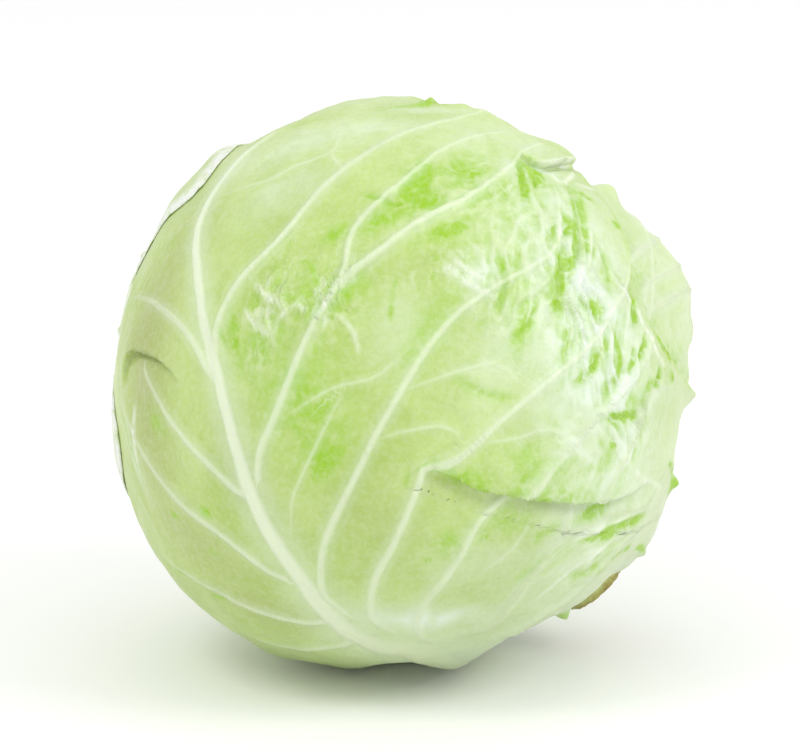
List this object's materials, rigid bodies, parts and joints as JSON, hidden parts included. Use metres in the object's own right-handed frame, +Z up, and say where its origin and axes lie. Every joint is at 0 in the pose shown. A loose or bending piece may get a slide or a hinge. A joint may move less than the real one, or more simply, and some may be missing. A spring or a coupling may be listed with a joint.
{
  "type": "cabbage head",
  "caption": "Round white cabbage head lying on its side, with a cut stalk and waved, ribbed wrapper leaves clasped round a dense heart.",
  "frame": {"origin": "middle of the flat spot that the head rests on", "axes": "+Z up, the front leaf faces -Y, the stalk points to +X and down"},
  "size_m": [0.1828, 0.1852, 0.1789],
  "materials": {
    "heart": "satin, moist leaf",
    "cut_stalk": "matte, dried cut",
    "outer_leaf": "waxy leaf",
    "inner_leaf": "waxy leaf"
  },
  "bodies": {
    "root": {"heart": "heart", "stalk": "cut_stalk", "leaf_front": "outer_leaf", "leaf_left": "outer_leaf", "leaf_right": "inner_leaf", "leaf_back": "inner_leaf"}
  },
  "joints": []
}
